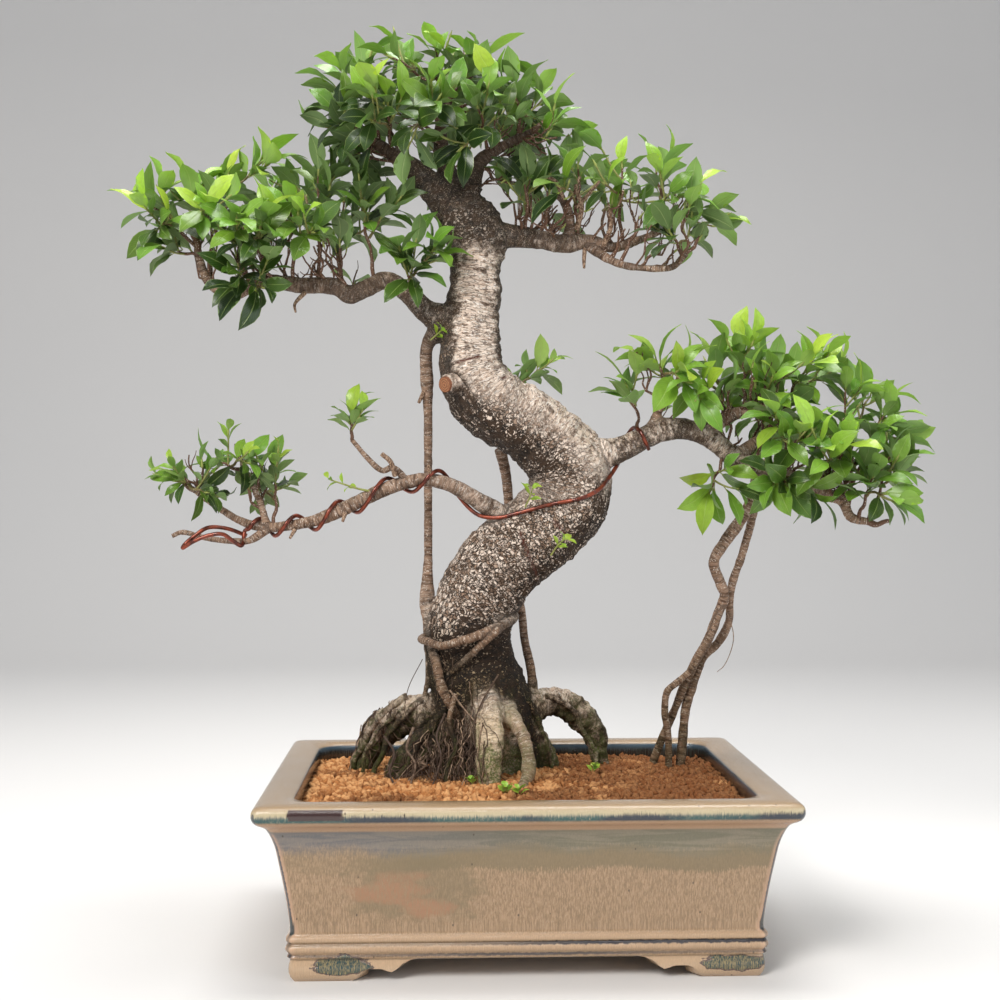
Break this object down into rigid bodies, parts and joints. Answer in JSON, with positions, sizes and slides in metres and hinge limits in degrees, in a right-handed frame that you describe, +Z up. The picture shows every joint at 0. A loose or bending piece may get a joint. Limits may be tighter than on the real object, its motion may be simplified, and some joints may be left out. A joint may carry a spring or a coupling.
{
  "type": "kimmen ficus bonsai",
  "caption": "S-curved kimmen ficus bonsai with aerial roots and a wired lower branch, planted in a glazed rectangular pot on bracket feet",
  "frame": {"origin": "centre of the part's bounding box, seen from above, on the surface that the pot's feet stand on", "axes": "+Z up along the tree, +X to the right as the front is seen, -Y towards the front"},
  "size_m": [0.8212, 0.35, 0.873],
  "materials": {
    "glaze": "gloss",
    "soil": "matte",
    "bark": "matte",
    "wire": "satin",
    "mesh": "matte",
    "leaf": "gloss"
  },
  "bodies": {
    "root": {"pot": "glaze", "soil": "soil", "tree": "bark", "training_wire": "wire", "drain_screen_left": "mesh", "drain_screen_right": "mesh", "apex_back": "leaf", "apex_back_left": "leaf", "apex_back_right": "leaf", "apex_front": "leaf", "apex_front_left": "leaf", "apex_front_right": "leaf", "apex_left": "leaf", "apex_low_left": "leaf", "apex_right_tip": "leaf", "apex_top": "leaf", "apex_top_left": "leaf", "apex_top_right": "leaf", "left_back": "leaf", "left_back_inner": "leaf", "left_back_outer": "leaf", "left_crown": "leaf", "left_front": "leaf", "left_front_inner": "leaf", "left_inner": "leaf", "left_low": "leaf", "left_near_trunk": "leaf", "left_outer": "leaf", "left_tip": "leaf", "left_tip_low": "leaf", "left_top": "leaf", "lower_crown": "leaf", "lower_inner": "leaf", "lower_sprig": "leaf", "lower_tip": "leaf", "middle_back": "leaf", "middle_back_outer": "leaf", "middle_crown": "leaf", "middle_end": "leaf", "middle_front": "leaf", "middle_front_outer": "leaf", "middle_hanging": "leaf", "middle_high": "leaf", "middle_inner": "leaf", "middle_low": "leaf", "middle_new_growth": "leaf", "middle_outer": "leaf", "middle_spur_tip": "leaf", "middle_tip": "leaf", "middle_tip_low": "leaf", "middle_whip": "leaf", "right_back": "leaf", "right_back_inner": "leaf", "right_crown": "leaf", "right_inner": "leaf", "right_low": "leaf", "right_outer": "leaf", "right_tip": "leaf", "right_top": "leaf", "trunk_back": "leaf"}
  },
  "joints": []
}
